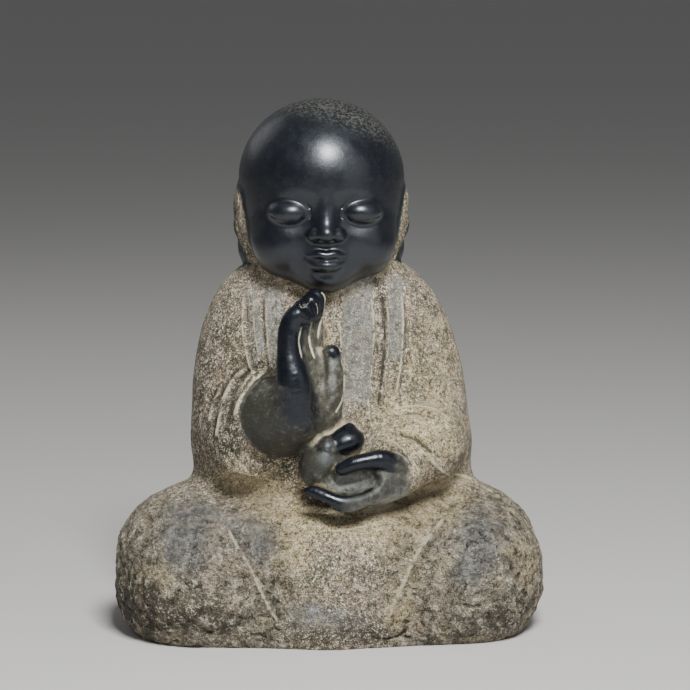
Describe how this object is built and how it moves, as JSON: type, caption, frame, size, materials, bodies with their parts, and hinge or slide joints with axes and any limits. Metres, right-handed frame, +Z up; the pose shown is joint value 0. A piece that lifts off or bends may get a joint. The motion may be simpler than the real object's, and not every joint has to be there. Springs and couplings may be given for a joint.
{
  "type": "stone jizo statue",
  "caption": "Small seated child monk carved from one block of dark stone, right hand raised in blessing and left hand open in the lap; stands by its own weight.",
  "frame": {"origin": "middle of the flat underside, at the centre of the bounding box in plan", "axes": "+Z up; the figure looks along -Y; +X is to the right of someone facing it"},
  "size_m": [0.1618, 0.104, 0.2],
  "materials": {
    "weathered_stone": "matt earth-coloured crust on the robe, with the near-black stone hand-polished on the head and hands"
  },
  "bodies": {
    "root": {"statue": "weathered_stone"}
  },
  "joints": []
}
